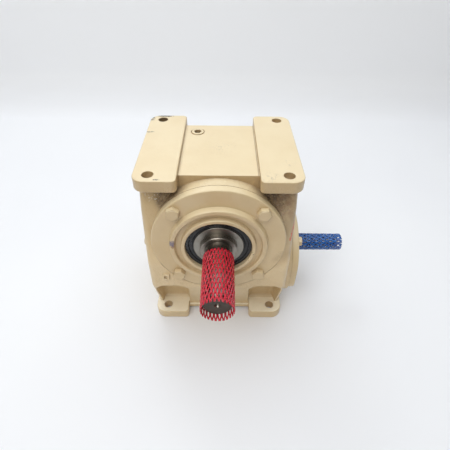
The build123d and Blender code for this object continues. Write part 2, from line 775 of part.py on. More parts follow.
with BuildPart() as gear_hub:
    bore = OUT_SEAT_R + FIT
    turn(
        [
            (bore, -HUB_HALF),
            (HUB_R, -HUB_HALF, 1.5),
            (HUB_R, -FACE_WIDTH / 2),
            (RIM_R, -FACE_WIDTH / 2),
            (RIM_R, FACE_WIDTH / 2),
            (HUB_R, FACE_WIDTH / 2),
            (HUB_R, HUB_HALF, 1.5),
            (bore, HUB_HALF),
        ],
        WHEEL_CENTRE,
        FRONT,
    )
    with BuildSketch(Plane.XY.offset(WHEEL_Z)):
        Rectangle(KEY_WIDTH, 3 * HUB_HALF)
    extrude(amount=OUT_SEAT_R + 4, mode=Mode.SUBTRACT)
    drill(SCREWS, 2.5 + FIT, -FACE_WIDTH / 2 - 1, FACE_WIDTH / 2 + 1, WHEEL_CENTRE, FRONT)
nodes["gear_hub"] = gear_hub


def tooth_half_angle(radius):
    """Half the angle a wheel tooth fills at a radius, on an involute flank."""
    base_r = WHEEL_R * cos(PRESSURE)
    pressure_here = acos(min(1, base_r / radius))
    involute = tan(PRESSURE) - PRESSURE - (tan(pressure_here) - pressure_here)
    return (pi * MODULE / 2 - FLANK_PLAY) / (2 * WHEEL_R) + involute


def wheel_outline(along, skew):
    """Toothed outline of the wheel at a distance along its axis, turned by the helix there."""
    root_r = WHEEL_R - ROOT_DEPTH
    steps = [WHEEL_R * cos(PRESSURE), 46.6, 48.4, 50.2, WHEEL_OUTER_R]
    plane = Plane(origin=(0, along, WHEEL_Z), x_dir=(1, 0, 0), z_dir=(0, -1, 0))

    def at(radius, angle):
        return plane.from_local_coords(Vector(radius * cos(angle), radius * sin(angle)))

    edges = []
    for tooth in range(TEETH):
        middle = -pi / 2 + (tooth + 0.5) * 2 * pi / TEETH - skew
        left = [at(radius, middle + tooth_half_angle(radius)) for radius in steps]
        right = [at(radius, middle - tooth_half_angle(radius)) for radius in steps]
        foot = tooth_half_angle(steps[0])
        root_right = at(root_r, middle - foot)
        root_left = at(root_r, middle + foot)
        next_root = at(root_r, middle + 2 * pi / TEETH - foot)
        edges += [
            Edge.make_line(root_right, right[0]),
            Edge.make_spline(right),
            Edge.make_line(right[-1], left[-1]),
            Edge.make_spline(left[::-1]),
            Edge.make_line(left[0], root_left),
            Edge.make_line(root_left, next_root),
        ]
    return Wire(edges)


with BuildPart() as gear_rim:
    skew = MODULE / (2 * WORM_R) * FACE_WIDTH / 2 / WHEEL_R
    add(Solid.make_loft([wheel_outline(-FACE_WIDTH / 2, -skew), wheel_outline(FACE_WIDTH / 2, skew)],
                        ruled=True))
    ring(0, RIM_R + FIT, -FACE_WIDTH, FACE_WIDTH, WHEEL_CENTRE, FRONT, Mode.SUBTRACT)
    # throat that wraps the worm
    hoop(CENTRES, WORM_R - MODULE, 0, WHEEL_CENTRE, FRONT, Mode.SUBTRACT)
    drill(SCREWS, 2.5 + FIT, -FACE_WIDTH / 2 - 1, FACE_WIDTH / 2 + 1, WHEEL_CENTRE, FRONT)
nodes["gear_rim"] = gear_rim

with BuildPart() as gear_rim_screws:
    with BuildSketch(cross_plane(WHEEL_CENTRE, FRONT, -FACE_WIDTH / 2)) as rods:
        with Locations(*SCREWS):
            Circle(2.5)
    extrude(rods.sketch, amount=FACE_WIDTH)
nodes["gear_rim_screws"] = gear_rim_screws

with BuildPart() as front_spacer:
    ring(OUT_JOURNAL_R + FIT, SPACER_R, HUB_HALF, OUT_BEARING, WHEEL_CENTRE, FRONT)
nodes["front_spacer"] = front_spacer

with BuildPart() as rear_spacer:
    ring(OUT_JOURNAL_R + FIT, SPACER_R, 26, OUT_BEARING, WHEEL_CENTRE, REAR)
nodes["rear_spacer"] = rear_spacer

with BuildPart() as seal_collar:
    turn(
        [
            (OUT_JOURNAL_R + FIT, OUT_BEARING_END + 0.1),
            (COLLAR_R, OUT_BEARING_END + 0.1, 0.5),
            (COLLAR_R, COLLAR_END, 0.8),
            (OUT_JOURNAL_R + FIT, COLLAR_END),
        ],
        WHEEL_CENTRE,
        FRONT,
    )
nodes["seal_collar"] = seal_collar

with BuildPart() as rear_retaining_ring:
    ring(OUT_JOURNAL_R - 0.95, 22.5, 60.65, 62.15, WHEEL_CENTRE, REAR)
nodes["rear_retaining_ring"] = rear_retaining_ring


# ---------------------------------------------------------------- worm
def thread_section():
    """Axial section of the worm thread, standing on the plane through the axis."""
    slope = tan(PRESSURE)
    half_pitch = LEAD / 4 - FLANK_PLAY / 2
    buried = ROOT_DEPTH + 0.6
    with BuildSketch(Plane.XZ) as section:
        with BuildLine():
            Polyline(
                (WORM_R - buried, -half_pitch - slope * buried),
                (WORM_TIP_R, -half_pitch + slope * MODULE),
                (WORM_TIP_R, half_pitch - slope * MODULE),
                (WORM_R - buried, half_pitch + slope * buried),
                close=True,
            )
        make_face()
    return section.sketch


with BuildPart() as worm_shaft:
    core = WORM_R - ROOT_DEPTH
    turn(
        [
            (0, -NUT_END),
            (IN_JOURNAL_R - 1, -NUT_END),
            (IN_JOURNAL_R, -NUT_END + 1),
            (IN_JOURNAL_R, -END_BEARING + 7),
            (WORM_BODY_R, -END_BEARING + 7, 1),
            (WORM_BODY_R, -33),
            (core, -30),
            (core, 30),
            (WORM_BODY_R, 33),
            (WORM_BODY_R, IN_BEARING - 7, 1),
            (IN_JOURNAL_R, IN_BEARING - 7),
            (IN_JOURNAL_R, 75.05),
            (IN_JOURNAL_R - 0.6, 75.05),
            (IN_JOURNAL_R - 0.6, 76.25),
            (IN_JOURNAL_R, 76.25),
            (IN_JOURNAL_R, IN_SHOULDER, 0.5),
            (IN_SHAFT_R, IN_SHOULDER),
            (IN_SHAFT_R, IN_END - 1.5),
            (IN_SHAFT_R - 1.5, IN_END),
            (0, IN_END),
        ],
        WORM_CENTRE,
        RIGHT,
    )
    spiral = Helix(LEAD, LEAD * THREAD_TURNS, WORM_R, mode=Mode.PRIVATE)
    thread = sweep(thread_section(), path=spiral, is_frenet=True, mode=Mode.PRIVATE)
    start = Location((-THREAD_TURNS * LEAD / 2, 0, WORM_Z), (0, 90, 0))
    add(start * thread)
    keyway(4.76, 2.4, IN_SHAFT_R, 106, 146, -142.5, WORM_CENTRE, RIGHT)
    centre_drill(2, IN_END, WORM_CENTRE, RIGHT)
nodes["worm_shaft"] = worm_shaft

with BuildPart() as worm_lock_washer:
    ring(IN_JOURNAL_R + FIT, 14, 71.05, 71.85, WORM_CENTRE, LEFT)
nodes["worm_lock_washer"] = worm_lock_washer

with BuildPart() as worm_locknut:
    ring(IN_JOURNAL_R + FIT, 15.5, 71.9, NUT_END, WORM_CENTRE, LEFT)
    with BuildSketch(cross_plane(WORM_CENTRE, LEFT, 71)) as notches:
        with PolarLocations(15.5, 4):
            Rectangle(3, 4)
    extrude(notches.sketch, amount=10, mode=Mode.SUBTRACT)
nodes["worm_locknut"] = worm_locknut

with BuildPart() as input_retaining_ring:
    ring(IN_JOURNAL_R - 0.55, 12.5, 75.1, 76.2, WORM_CENTRE, RIGHT)
nodes["input_retaining_ring"] = input_retaining_ring


# ---------------------------------------------------------------- bearings in place
front_bearing = TaperBearing(WHEEL_CENTRE, FRONT)
rear_bearing = TaperBearing(WHEEL_CENTRE, REAR)
input_bearing = BallBearing(WORM_CENTRE, RIGHT, IN_BEARING)
end_bearing = BallBearing(WORM_CENTRE, LEFT, END_BEARING)

BEARING_PARTS = {
    "front_bearing_cup": front_bearing.cup,
    "front_bearing_cone": front_bearing.cone,
    "front_bearing_rollers": front_bearing.roller_set,
    "front_bearing_cage": front_bearing.cage,
    "rear_bearing_cup": rear_bearing.cup,
    "rear_bearing_cone": rear_bearing.cone,
    "rear_bearing_rollers": rear_bearing.roller_set,
    "rear_bearing_cage": rear_bearing.cage,
    "input_bearing_outer": input_bearing.outer_ring,
    "input_bearing_inner": input_bearing.inner_ring,
    "input_bearing_balls": input_bearing.ball_set,
    "input_bearing_cage": input_bearing.cage,
    "end_bearing_outer": end_bearing.outer_ring,
    "end_bearing_inner": end_bearing.inner_ring,
    "end_bearing_balls": end_bearing.ball_set,
    "end_bearing_cage": end_bearing.cage,
}

for name, shape_it in BEARING_PARTS.items():
    with BuildPart() as bearing_piece:
        shape_it()
    nodes[name] = bearing_piece


# ---------------------------------------------------------------- protective nets, as plain sleeves
with BuildPart() as output_net:
    ring(*OUT_NET, WHEEL_CENTRE, FRONT)
nodes["output_net"] = output_net

with BuildPart() as input_net:
    ring(*IN_NET, WORM_CENTRE, RIGHT)
nodes["input_net"] = input_net


# ---------------------------------------------------------------- files
os.makedirs("parts", exist_ok=True)
for name, node in nodes.items():
    node.part.label = name
    export_step(node.part, f"parts/{name}.step")
    print(name, len(node.part.solids()), round(node.part.volume))
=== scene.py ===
"""The look of the worm gearbox: cream enamel over rough castings, turned steel, oil-black seals
and two open protective nets, on a pale studio sweep.

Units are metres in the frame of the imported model: the output shaft points to -Y, the input to +X.
"""

from math import cos, pi, radians, sin
from random import Random

import bmesh
import bpy
from mathutils import Matrix, Vector


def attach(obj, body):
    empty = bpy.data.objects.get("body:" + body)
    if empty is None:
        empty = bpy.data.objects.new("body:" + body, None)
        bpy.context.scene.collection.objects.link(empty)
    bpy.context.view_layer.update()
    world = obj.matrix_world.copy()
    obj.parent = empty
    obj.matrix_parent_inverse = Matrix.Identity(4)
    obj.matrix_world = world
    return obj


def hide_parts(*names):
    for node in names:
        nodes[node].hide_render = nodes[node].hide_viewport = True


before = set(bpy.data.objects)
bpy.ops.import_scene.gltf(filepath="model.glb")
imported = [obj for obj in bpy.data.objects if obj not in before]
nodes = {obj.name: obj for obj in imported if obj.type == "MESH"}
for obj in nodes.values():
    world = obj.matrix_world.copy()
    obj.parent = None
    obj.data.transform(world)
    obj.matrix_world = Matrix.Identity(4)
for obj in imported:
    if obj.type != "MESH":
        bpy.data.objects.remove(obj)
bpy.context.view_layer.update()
scene = bpy.context.scene

WHEEL_AXIS = Vector((0, 0, 0.1365))
WORM_AXIS = Vector((0, 0, 0.073))
TOP = 0.213
DECK = TOP - 0.0042  # the case's top face between the two pads
BOLT_X, BOLT_Y = 0.0651, 0.0559
CREAM = (0.80, 0.665, 0.43)

CAMERA_PLACE = (0.0041, -0.3237, 0.3948)
CAMERA_PITCH, CAMERA_YAW, CAMERA_ROLL = radians(-42.243), radians(-0.503), radians(-0.786)
CAMERA_LENS = 28.055


# ---------------------------------------------------------------- camera
def place_camera():
    """A wide lens close in front, looking down at about 42 degrees."""
    turn = Matrix.Rotation(CAMERA_YAW, 3, "Z")
    turn = turn @ Matrix.Rotation(CAMERA_PITCH, 3, "X") @ Matrix.Rotation(CAMERA_ROLL, 3, "Y")
    right, ahead, up = turn.col[0], turn.col[1], turn.col[2]
    data = bpy.data.cameras.new("camera")
    data.sensor_width = 36
    data.lens = CAMERA_LENS
    data.clip_start = 0.01
    camera = bpy.data.objects.new("camera", data)
    axes = Matrix((right, up, -ahead)).transposed()
    camera.matrix_world = Matrix.Translation(CAMERA_PLACE) @ axes.to_4x4()
    scene.collection.objects.link(camera)
    scene.camera = camera


place_camera()


# ---------------------------------------------------------------- material building
class Shader:
    """A material under construction: short calls that add nodes and return output sockets."""

    def __init__(self, name):
        self.material = bpy.data.materials.new(name)
        self.material.use_nodes = True
        self.tree = self.material.node_tree
        self.surface = self.tree.nodes["Principled BSDF"]
        self.place = self.make("ShaderNodeTexCoord").outputs["Object"]

    def make(self, kind, **settings):
        node = self.tree.nodes.new(kind)
        for key, value in settings.items():
            setattr(node, key, value)
        return node

    def feed(self, socket, value):
        if isinstance(value, bpy.types.NodeSocket):
            self.tree.links.new(value, socket)
        elif isinstance(value, tuple) and len(value) == 3 and socket.type == "RGBA":
            socket.default_value = (*value, 1)
        else:
            socket.default_value = value

    def maths(self, operation, *values, clamp=False):
        node = self.make("ShaderNodeMath", operation=operation, use_clamp=clamp)
        for socket, value in zip(node.inputs, values):
            self.feed(socket, value)
        return node.outputs[0]

    def times(self, a, b, clamp=False):
        return self.maths("MULTIPLY", a, b, clamp=clamp)

    def vector(self, operation, *values):
        node = self.make("ShaderNodeVectorMath", operation=operation)
        for socket, value in zip(node.inputs, values):
            self.feed(socket, value)
        return node.outputs["Value" if operation in ("LENGTH", "DOT_PRODUCT") else 0]

    def scaled(self, factors):
        return self.vector("MULTIPLY", self.place, factors)

    def noise(self, scale, detail=3.0, roughness=0.55, where=None, distortion=0.0):
        node = self.make("ShaderNodeTexNoise")
        self.feed(node.inputs["Vector"], where or self.place)
        node.inputs["Scale"].default_value = scale
        node.inputs["Detail"].default_value = detail
        node.inputs["Roughness"].default_value = roughness
        node.inputs["Distortion"].default_value = distortion
        return node.outputs["Fac"]

    def ramp(self, value, low, high, start=0.0, end=1.0):
        """A smooth step: start where the value is at low, end where it is at high."""
        node = self.make("ShaderNodeMapRange", interpolation_type="SMOOTHSTEP")
        self.feed(node.inputs["Value"], value)
        node.inputs["From Min"].default_value = low
        node.inputs["From Max"].default_value = high
        node.inputs["To Min"].default_value = start
        node.inputs["To Max"].default_value = end
        return node.outputs["Result"]

    def mix(self, factor, a, b, blend="MIX"):
        node = self.make("ShaderNodeMix", data_type="RGBA", blend_type=blend)
        self.feed(node.inputs[0], factor)
        self.feed(node.inputs[6], a)
        self.feed(node.inputs[7], b)
        return node.outputs[2]

    def geometry(self, output):
        return self.make("ShaderNodeNewGeometry").outputs[output]

    def component(self, vector, index):
        split = self.make("ShaderNodeSeparateXYZ")
        self.feed(split.inputs[0], vector)
        return split.outputs[index]

    def axis(self, index):
        return self.component(self.place, index)

    def rounded(self, radius):
        """The normal with edges softened over a radius."""
        node = self.make("ShaderNodeBevel", samples=6)
        node.inputs["Radius"].default_value = radius
        return node.outputs[0]

    def corner_shade(self, distance):
        """0 in the open, 1 deep in a crevice."""
        node = self.make("ShaderNodeAmbientOcclusion", samples=8)
        node.inputs["Distance"].default_value = distance
        return self.maths("SUBTRACT", 1.0, node.outputs["AO"])

    def edge(self, radius):
        """How far the surface turns within a radius: 0 on a flat, rising at an edge."""
        agree = self.vector("DOT_PRODUCT", self.rounded(radius), self.geometry("Normal"))
        return self.maths("SUBTRACT", 1.0, agree)

    def shade_upright(self, tone, shade_tint=(0.93, 0.85, 0.74)):
        """Upright faces get a patchy, darker and warmer tint than level ones: painted shade, as
        upright faces take less of the overhead light.
        """
        upright_shade = self.ramp(self.component(self.geometry("Normal"), 2), 0.25, 0.9, 1, 0)
        patchy_shade = self.times(upright_shade, self.ramp(self.noise(28, 4), 0.3, 0.7, 0.75, 1.0))
        return self.mix(patchy_shade, tone, self.mix(1.0, tone, shade_tint, "MULTIPLY"))

    def near(self, point, size, stretch=(1, 1, 1)):
        """1 at a point, falling to 0 at a distance, squeezed along each axis by stretch."""
        offset = self.vector("SUBTRACT", self.place, tuple(point))
        away = self.vector("LENGTH", self.vector("MULTIPLY", offset, stretch))
        return self.ramp(away, 0, size, 1, 0)

    def line(self, start, end, width, waver=0.0):
        """1 on a straight mark between two points, falling to 0 at its width."""
        run = Vector(end) - Vector(start)
        offset = self.vector("SUBTRACT", self.place, tuple(start))
        along = self.vector("DOT_PRODUCT", offset, tuple(run))
        share = self.times(along, 1 / run.length_squared, clamp=True)
        scale = self.make("ShaderNodeVectorMath", operation="SCALE")
        self.feed(scale.inputs[0], tuple(run))
        self.feed(scale.inputs["Scale"], share)
        away = self.vector("LENGTH", self.vector("SUBTRACT", offset, scale.outputs[0]))
        if waver:
            away = self.maths("ADD", away, self.ramp(self.noise(500, 3), 0.3, 0.7, -waver, waver))
        return self.ramp(away, 0, width, 1, 0)

    def stain(self, tone, shape, colour, strength, breakup=None):
        """A colour laid over the tone where a shape says, optionally broken up by a noise."""
        amount = self.times(shape, strength)
        if breakup is not None:
            amount = self.times(amount, breakup)
        return self.mix(amount, tone, colour)

    def bump(self, layers, round_edges=0.0):
        """Layers of (height socket, strength, distance), over optionally softened edges."""
        normal = None
        if round_edges:
            normal = self.rounded(round_edges)
        for height, strength, distance in layers:
            node = self.make("ShaderNodeBump")
            node.inputs["Strength"].default_value = strength
            node.inputs["Distance"].default_value = distance
            self.feed(node.inputs["Height"], height)
            if normal:
                self.feed(node.inputs["Normal"], normal)
            normal = node.outputs[0]
        self.feed(self.surface.inputs["Normal"], normal)

    def finish(self, **sockets):
        for name, value in sockets.items():
            self.feed(self.surface.inputs[name.replace("_", " ")], value)
        return self.material


ENAMEL_COAT = {"Coat_Weight": 0.35, "Coat_Roughness": 0.2}

BARE_CAST = (0.05, 0.04, 0.034)
CHIPPED_EDGE = (0.075, 0.058, 0.045)
SCUFFED = (0.33, 0.28, 0.22)
OIL_BLACK = (0.03, 0.025, 0.02)
CORNER_GRIME_AND_SHADE = (0.25, 0.155, 0.08)
BROAD_SHADE_BROWN = (0.43, 0.29, 0.15)
POCKET_DIRT = (0.17, 0.105, 0.055)
DAMP_DIRT = (0.09, 0.06, 0.035)
PAINTED_GLINT = (0.92, 0.86, 0.72)
RUST = (0.33, 0.18, 0.09)
RED_SCRATCH = (0.66, 0.10, 0.045)
PAINTED_LIGHT_FOOT = (0.98, 0.90, 0.70)

# point, size, stretch: paint chipped to dark metal on the pads
CASE_CHIPS = [
    ((-0.0640, 0.0655, TOP), 0.0165, (0.8, 2.6, 1)),
    ((-0.0770, 0.0600, TOP), 0.0050, (1, 1.2, 1)),
    ((-0.0775, 0.0550, TOP), 0.0045, (0.8, 1.5, 1)),
    ((-0.0770, 0.0260, TOP), 0.0095, (0.8, 5.5, 1)),
    ((-0.0560, -0.0640, TOP), 0.0040, (0.6, 2.5, 1)),
]
# point, size, strength
CASE_SCUFFS = [
    ((0.0475, -0.0580, TOP), 0.013, 0.6),
    ((0.068, -0.034, TOP), 0.009, 0.45),
    ((0.004, 0.0, DECK), 0.02, 0.3),
]
# point, size, colour, strength
COVER_SPOTS = [
    ((-0.0465, -0.0762, 0.1393), 0.0045, (0.27, 0.12, 0.04), 0.75),
    ((-0.0470, -0.0762, 0.1436), 0.0075, (0.19, 0.15, 0.20), 0.9),
    ((0.0345, -0.0765, 0.1320), 0.0022, (0.30, 0.29, 0.12), 0.5),
    ((0.0360, -0.0765, 0.1290), 0.0014, (0.05, 0.04, 0.03), 0.7),
]
PLUG_SPOTS = [((-0.0244, 0.0354, 0.2010), 0.0125, (0.03, 0.024, 0.02), 0.95)]
# start, end, width, colour, strength: a painted shadow in the valley between the cover's lower
# right and the case
COVER_SHADOW_LINES = [
    ((0.0610, -0.0710, 0.1150), (0.0680, -0.0710, 0.1250), 0.0060, (0.45, 0.32, 0.17), 0.45),
]


def enamel_gloss(sh, grime_and_shade):
    """Half-gloss paint, duller where the corner grime and painted shade lie on it."""
    rough = sh.ramp(sh.noise(60, 3), 0.3, 0.75, 0.28, 0.44)
    return sh.maths("ADD", rough, sh.times(grime_and_shade, 0.35), clamp=True)


def cream_enamel(name, grain=1.0, spots=(), shadow_lines=(), grime_and_shade_amount=1.0):
    """Sprayed enamel over a sand-cast grain, with painted shade on upright faces, brown grime and
    painted shade in corners, a broad painted shade in hollows, painted shadow lines and worn edges.
    """
    sh = Shader(name)
    mottle = sh.noise(22, 4)
    tone = sh.mix(sh.ramp(mottle, 0.35, 0.68), CREAM, (0.76, 0.615, 0.375))
    # painted shade: upright faces darker than level ones
    tone = sh.shade_upright(tone, (0.83, 0.76, 0.66))
    speck = sh.ramp(sh.noise(420, 2, 0.6), 0.62, 0.75)
    tone = sh.mix(sh.times(speck, 0.22), tone, (0.62, 0.47, 0.27))
    # brown grime and painted shade, darkest deep in corners
    corner = sh.ramp(sh.corner_shade(0.012), 0.18, 0.85)
    broken = sh.ramp(sh.noise(160, 4, 0.65), 0.25, 0.7, 0.35, 1.0)
    grime_and_shade = sh.times(sh.times(corner, broken), 0.62 * grime_and_shade_amount)
    tone = sh.mix(grime_and_shade, tone, (0.27, 0.17, 0.085))
    # a broad painted shade in hollows and under overhangs
    broad_shade = sh.ramp(sh.corner_shade(0.05), 0.25, 0.9)
    tone = sh.mix(sh.times(broad_shade, 0.28 * grime_and_shade_amount), tone, (0.45, 0.31, 0.165))
    here_and_there = sh.ramp(sh.noise(95, 4), 0.66, 0.74)
    rubbed = sh.times(sh.ramp(sh.edge(0.0012), 0.06, 0.2), here_and_there)
    tone = sh.mix(sh.times(rubbed, 0.6), tone, CHIPPED_EDGE)
    for point, size, colour, strength in spots:
        rim = sh.ramp(sh.noise(900, 4), 0.3, 0.7, -0.35, 0.25)
        ragged = sh.maths("ADD", sh.near(point, size), rim)
        tone = sh.stain(tone, sh.ramp(ragged, 0.35, 0.6), colour, strength)
    # painted shadow lines
    for start, end, width, colour, strength in shadow_lines:
        tone = sh.stain(tone, sh.line(start, end, width, width * 0.3), colour, strength)
    sand = sh.noise(780, 3, 0.6)
    lump = sh.noise(170, 3, 0.5)
    sh.bump([(lump, 0.35 * grain, 0.0012), (sand, 0.30 * grain, 0.0005)], 0.0009)
    return sh.finish(Base_Color=tone, Roughness=enamel_gloss(sh, grime_and_shade), **ENAMEL_COAT)


def housing_enamel():
    """The case's enamel: rough on cast walls, smooth on the machined pads, with known marks,
    painted shade and painted light.
    """
    sh = Shader("case_enamel")
    height = sh.axis(2)
    flat_top = sh.ramp(sh.component(sh.geometry("True Normal"), 2), 0.9, 0.98)
    # the deck and the pads are machined, the walls and feet left as cast
    machined = sh.times(flat_top, sh.ramp(height, 0.205, 0.2075))

    mottle = sh.noise(18, 4)
    tone = sh.mix(sh.ramp(mottle, 0.35, 0.68), CREAM, (0.765, 0.62, 0.385))
    # painted shade on upright faces, deeper and greyer towards the top of the walls
    tone = sh.shade_upright(tone)
    tone = sh.mix(sh.ramp(height, 0.12, 0.185), tone, sh.shade_upright(tone, (0.76, 0.72, 0.66)))
    rough_wall = sh.maths("SUBTRACT", 1.0, machined)
    speck = sh.times(sh.ramp(sh.noise(420, 2, 0.6), 0.6, 0.74), rough_wall)
    tone = sh.mix(sh.times(speck, 0.25), tone, (0.60, 0.45, 0.26))

    # brown grime and painted shade in corners, less of both low down
    corner = sh.ramp(sh.corner_shade(0.014), 0.18, 0.85)
    broken = sh.ramp(sh.noise(150, 4, 0.65), 0.25, 0.7, 0.35, 1.0)
    oily_hole = sh.ramp(sh.near((-0.0640, 0.0575, 0.206), 0.014), 0.2, 0.5)
    below_rim = sh.ramp(height, TOP, TOP - 0.001)
    tone = sh.stain(tone, oily_hole, OIL_BLACK, 0.85, below_rim)
    # the bolt holes, folded onto one quarter, get less of the corner grime and painted shade than
    # other crevices
    to_hole = sh.vector("SUBTRACT", sh.vector("ABSOLUTE", sh.place), (BOLT_X, BOLT_Y, 0))
    hole = sh.vector("LENGTH", sh.vector("MULTIPLY", to_hole, (1, 1, 0)))
    hole = sh.ramp(hole, 0.0060, 0.0053)
    broken = sh.maths("SUBTRACT", broken, sh.times(hole, 0.8), clamp=True)
    upper = sh.ramp(height, 0.03, 0.14, 0.1, 1.0)
    grime_and_shade = sh.times(corner, broken)
    grime_and_shade = sh.times(grime_and_shade, sh.times(upper, 0.65))
    tone = sh.mix(grime_and_shade, tone, CORNER_GRIME_AND_SHADE)
    # a broad painted shade in hollows, stronger higher up under the pads
    broad_shade = sh.ramp(sh.corner_shade(0.06), 0.3, 0.9)
    broad_shade = sh.times(broad_shade, sh.times(upper, 0.4))
    tone = sh.mix(broad_shade, tone, BROAD_SHADE_BROWN)

    # damp brown dirt and coarse, glossy grit in the pockets between the pads and the cover boss
    left_pocket = sh.near((-0.050, -0.053, 0.186), 0.023, (1, 1, 0.8))
    right_pocket = sh.near((0.055, -0.053, 0.184), 0.026, (1, 1, 0.8))
    pocket = sh.ramp(sh.maths("MAXIMUM", left_pocket, right_pocket), 0.1, 0.7)
    clumps = sh.ramp(sh.noise(240, 5, 0.7), 0.38, 0.62)
    tone = sh.stain(tone, pocket, POCKET_DIRT, 0.85, sh.ramp(clumps, 0, 1, 0.45, 1))
    # painted highlights: pale glints on the wet grit under the left pad
    painted_glints = sh.near((-0.064, -0.055, 0.188), 0.014)
    painted_glints = sh.times(painted_glints, sh.ramp(sh.noise(480, 3), 0.56, 0.66))
    tone = sh.stain(tone, sh.ramp(painted_glints, 0.1, 0.5), PAINTED_GLINT, 0.8)
    rust = sh.near((0.069, -0.056, 0.176), 0.026)
    flaky = sh.ramp(sh.noise(150, 4, 0.6), 0.35, 0.6)
    tone = sh.stain(tone, rust, RUST, 0.9, flaky)
    damp = sh.near((0.050, -0.056, 0.182), 0.018)
    tone = sh.stain(tone, damp, DAMP_DIRT, 0.7, clumps)
    groove = sh.line((0.0375, 0.062, DECK), (0.0375, -0.050, DECK), 0.0008)
    tone = sh.stain(tone, groove, (0.22, 0.15, 0.08), 0.6)
    shade = sh.line((0.060, -0.068, 0.108), (0.074, -0.064, 0.120), 0.011)
    tone = sh.stain(tone, shade, (0.42, 0.29, 0.155), 0.5)
    # painted shade: darker brown on the case's right front corner
    right_wall_shade = sh.near((0.073, -0.058, 0.155), 0.04, (1, 1, 0.7))
    tone = sh.stain(tone, right_wall_shade, (0.40, 0.30, 0.18), 0.6)
    # painted light: the feet's level tops painted paler, as if better lit
    lit_feet = sh.times(flat_top, sh.ramp(height, 0.018, 0.013))
    tone = sh.stain(tone, lit_feet, PAINTED_LIGHT_FOOT, 0.95)

    here_and_there = sh.ramp(sh.noise(70, 4), 0.68, 0.76)
    worn = sh.times(sh.ramp(sh.edge(0.0014), 0.06, 0.2), here_and_there)
    bare = sh.times(worn, 0.55)
    ragged_edge = sh.ramp(sh.noise(850, 4), 0.3, 0.7, -0.5, 0.25)
    for point, size, stretch in CASE_CHIPS:
        chip = sh.maths("ADD", sh.near(point, size, stretch), ragged_edge)
        bare = sh.maths("MAXIMUM", bare, sh.ramp(chip, 0.42, 0.6))
    tone = sh.mix(bare, tone, BARE_CAST)
    streaks = sh.ramp(sh.noise(140, 5, 0.7, sh.scaled((1.6, 1, 1)), 1.5), 0.52, 0.64)
    for point, size, strength in CASE_SCUFFS:
        tone = sh.stain(tone, sh.near(point, size), SCUFFED, strength, streaks)
    scratch = sh.line((0.0775, -0.0561, 0.1571), (0.0749, -0.0626, 0.1377), 0.0019, 0.0005)
    scratch = sh.ramp(scratch, 0.1, 0.5)
    tone = sh.stain(tone, scratch, RED_SCRATCH, 0.95, sh.ramp(clumps, 0, 1, 0.6, 1))

    wet = sh.times(pocket, 0.16)
    rough = sh.maths("SUBTRACT", enamel_gloss(sh, grime_and_shade), wet, clamp=True)
    sand = sh.times(sh.noise(700, 3, 0.6), sh.ramp(machined, 0, 1, 1, 0.15))
    lump = sh.times(sh.noise(130, 3, 0.5), sh.ramp(machined, 0, 1, 1, 0.2))
    grit = sh.times(sh.noise(330, 4, 0.65), pocket)
    sh.bump([(lump, 0.6, 0.002), (sand, 0.8, 0.0007), (grit, 1.0, 0.0026)], 0.0012)
    return sh.finish(Base_Color=tone, Roughness=rough, **ENAMEL_COAT)


def turned_steel(name, along, colour, rough=(0.22, 0.36), stain=0.35,
                 paint=None, dark_face=None):
    """Lathe-turned steel with fine rings round its axis and oil stain.

    The paint is overspray between two places on the axis. The dark_face is a rusty end's place
    on it."""
    sh = Shader(name)
    lay = [6.0, 6.0, 6.0]
    lay[along] = 2600.0
    rings = sh.noise(1.0, 3, 0.6, sh.scaled(tuple(lay)))
    lay[along] = 260.0
    bands = sh.noise(1.0, 2, 0.5, sh.scaled(tuple(lay)))
    tone = sh.mix(sh.ramp(rings, 0.3, 0.7), colour, tuple(0.72 * c for c in colour))
    blotch = sh.ramp(sh.noise(75, 5, 0.6), 0.5, 0.72)
    tone = sh.mix(sh.times(blotch, stain), tone, (0.16, 0.12, 0.085))
    metal = 1.0
    low, high = rough
    gloss = sh.maths("ADD", sh.ramp(bands, 0.3, 0.7, low, high), sh.times(blotch, 0.15))
    if dark_face is not None:
        skin = sh.ramp(sh.axis(along), dark_face + 0.0006, dark_face + 0.0002)
        patches = sh.ramp(sh.noise(420, 4, 0.7), 0.4, 0.7)
        rust = sh.mix(patches, (0.075, 0.062, 0.05), (0.11, 0.085, 0.065))
        tone = sh.mix(skin, tone, rust)
        gloss = sh.maths("ADD", gloss, sh.times(skin, 0.3), clamp=True)
        metal = sh.ramp(skin, 0, 1, 1, 0.35)
    if paint is not None:
        start, end = paint
        wander = sh.ramp(sh.noise(260, 3), 0.3, 0.7, -0.0006, 0.0006)
        reach = sh.maths("ADD", sh.axis(along), wander)
        begun = sh.ramp(reach, start, start + 0.0002)
        painted = sh.times(begun, sh.ramp(reach, end, end - 0.0004))
        overspray = sh.mix(sh.ramp(sh.noise(90, 3), 0.3, 0.7), CREAM, (0.7, 0.56, 0.35))
        tone = sh.mix(painted, tone, overspray)
        gloss = sh.maths("ADD", gloss, sh.times(painted, 0.2), clamp=True)
        metal = sh.maths("SUBTRACT", 1.0, painted)
    sh.bump([(bands, 0.12, 0.0002), (rings, 0.10, 0.00006)], 0.0003)
    return sh.finish(Base_Color=tone, Roughness=gloss, Metallic=metal)


def plain_metal(name, colour, rough, grain=320.0, spots=(0.12, 0.1, 0.08), amount=0.3):
    """Machined or cast metal: fine grain, mottled tone and dull spots."""
    sh = Shader(name)
    mottle = sh.ramp(sh.noise(grain * 0.25, 4), 0.35, 0.7)
    tone = sh.mix(mottle, colour, tuple(0.78 * c for c in colour))
    dull = sh.ramp(sh.noise(grain * 0.5, 5, 0.65), 0.55, 0.75)
    tone = sh.mix(sh.times(dull, amount), tone, spots)
    gloss = sh.ramp(mottle, 0, 1, rough, rough + 0.14)
    sh.bump([(sh.noise(grain * 3, 3), 0.2, 0.0002)], 0.0003)
    return sh.finish(Base_Color=tone, Roughness=gloss, Metallic=1.0)


